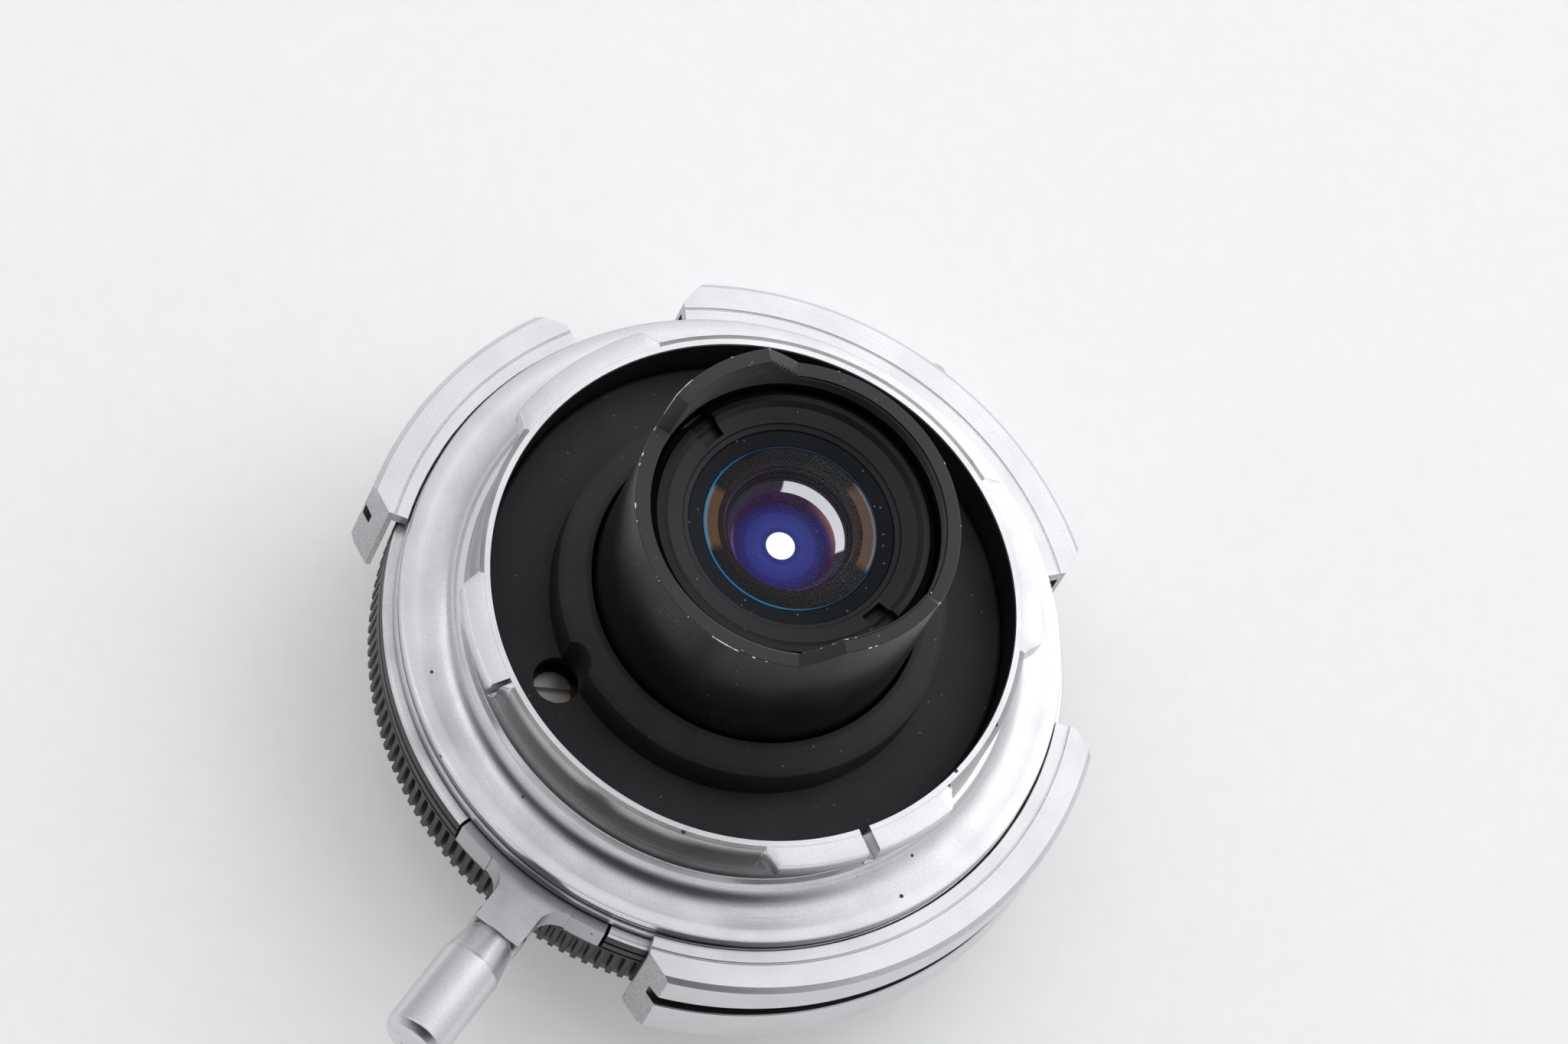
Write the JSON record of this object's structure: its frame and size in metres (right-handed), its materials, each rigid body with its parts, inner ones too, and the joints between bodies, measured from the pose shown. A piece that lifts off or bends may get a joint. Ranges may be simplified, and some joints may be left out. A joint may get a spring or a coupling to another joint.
{
  "type": "camera lens",
  "caption": "Compact wide-angle lens with a lugged bayonet, protruding rear tube, scalloped grip ring and a focusing lever that slides the optics; a ribbed ring works the iris.",
  "frame": {"origin": "centre of the bayonet flange's seating face, on the optical axis", "axes": "+Z along the optical axis towards the camera (rear); the front of the lens faces -Z; the focusing lever points along -Y"},
  "size_m": [0.0574, 0.0703, 0.0416],
  "materials": {
    "satin_chrome": "satin chrome plate over brass, worn bright and lightly scratched on the flange",
    "turned_steel": "turned steel",
    "barrel_brass": "bare turned brass, hidden inside",
    "black_anodised": "black anodised, satin, edges chipped to bare metal",
    "matt_black": "flat anti-reflection black, dusty",
    "blade_steel": "blackened spring steel, matt",
    "coated_glass": "polished optical glass with violet and amber coating reflections",
    "index_bead": "polished bead"
  },
  "bodies": {
    "mount": {"bayonet_mount": "satin_chrome", "grip_ring": "satin_chrome", "main_barrel": "barrel_brass", "baffle_plate": "matt_black", "mount_screw_1": "turned_steel", "mount_screw_2": "turned_steel", "mount_screw_3": "turned_steel", "index_bead": "index_bead", "guide_key": "turned_steel", "focus_stop_pin": "turned_steel"},
    "focus": {"focus_ring": "satin_chrome", "focus_lever": "satin_chrome", "lever_knob": "satin_chrome"},
    "optics": {"rear_shroud": "black_anodised", "rear_retaining_ring": "matt_black", "rear_lens": "coated_glass", "rear_spacer": "matt_black", "rear_inner_lens": "coated_glass", "iris_housing": "black_anodised", "front_barrel": "black_anodised", "front_cell": "matt_black", "front_inner_lens": "coated_glass", "front_lens": "coated_glass", "front_trim_ring": "black_anodised", "click_ball": "turned_steel", "click_spring": "turned_steel"},
    "aperture": {"aperture_ring": "black_anodised", "iris_cam_ring": "turned_steel", "aperture_drive": "turned_steel"},
    "blade_1": {"iris_blade_1": "blade_steel"},
    "blade_2": {"iris_blade_2": "blade_steel"},
    "blade_3": {"iris_blade_3": "blade_steel"},
    "blade_4": {"iris_blade_4": "blade_steel"},
    "blade_5": {"iris_blade_5": "blade_steel"},
    "blade_6": {"iris_blade_6": "blade_steel"},
    "blade_7": {"iris_blade_7": "blade_steel"},
    "blade_8": {"iris_blade_8": "blade_steel"}
  },
  "joints": [
    {"name": "focus_turn", "type": "hinge", "parent": "mount", "child": "focus", "pos_m": [0, 0, 0], "axis": [0, 0, 1], "range_deg": [-58, 12]},
    {"name": "optics_slide", "type": "slide", "parent": "mount", "child": "optics", "axis": [0, 0, -1], "range_m": [-0.00017, 0.00082]},
    {"name": "aperture_turn", "type": "hinge", "parent": "optics", "child": "aperture", "pos_m": [0, 0, 0], "axis": [0, 0, 1], "range_deg": [0, 45]},
    {"name": "blade_1_swing", "type": "hinge", "parent": "optics", "child": "blade_1", "pos_m": [0.0095, 0, -0.0045], "axis": [0, 0, 1], "range_deg": [-27.5, 0]},
    {"name": "blade_2_swing", "type": "hinge", "parent": "optics", "child": "blade_2", "pos_m": [0.00672, 0.00672, -0.0045], "axis": [0, 0, 1], "range_deg": [-27.5, 0]},
    {"name": "blade_3_swing", "type": "hinge", "parent": "optics", "child": "blade_3", "pos_m": [0, 0.0095, -0.0045], "axis": [0, 0, 1], "range_deg": [-27.5, 0]},
    {"name": "blade_4_swing", "type": "hinge", "parent": "optics", "child": "blade_4", "pos_m": [-0.00672, 0.00672, -0.0045], "axis": [0, 0, 1], "range_deg": [-27.5, 0]},
    {"name": "blade_5_swing", "type": "hinge", "parent": "optics", "child": "blade_5", "pos_m": [-0.0095, 0, -0.0045], "axis": [0, 0, 1], "range_deg": [-27.5, 0]},
    {"name": "blade_6_swing", "type": "hinge", "parent": "optics", "child": "blade_6", "pos_m": [-0.00672, -0.00672, -0.0045], "axis": [0, 0, 1], "range_deg": [-27.5, 0]},
    {"name": "blade_7_swing", "type": "hinge", "parent": "optics", "child": "blade_7", "pos_m": [0, -0.0095, -0.0045], "axis": [0, 0, 1], "range_deg": [-27.5, 0]},
    {"name": "blade_8_swing", "type": "hinge", "parent": "optics", "child": "blade_8", "pos_m": [0.00672, -0.00672, -0.0045], "axis": [0, 0, 1], "range_deg": [-27.5, 0]}
  ],
  "couplings": [
    {"joint": "focus_turn", "follows": "optics_slide", "rad_per_m": -1231.5},
    {"joint": "blade_1_swing", "follows": "aperture_turn", "ratio": -0.6},
    {"joint": "blade_2_swing", "follows": "aperture_turn", "ratio": -0.6},
    {"joint": "blade_3_swing", "follows": "aperture_turn", "ratio": -0.6},
    {"joint": "blade_4_swing", "follows": "aperture_turn", "ratio": -0.6},
    {"joint": "blade_5_swing", "follows": "aperture_turn", "ratio": -0.6},
    {"joint": "blade_6_swing", "follows": "aperture_turn", "ratio": -0.6},
    {"joint": "blade_7_swing", "follows": "aperture_turn", "ratio": -0.6},
    {"joint": "blade_8_swing", "follows": "aperture_turn", "ratio": -0.6}
  ]
}
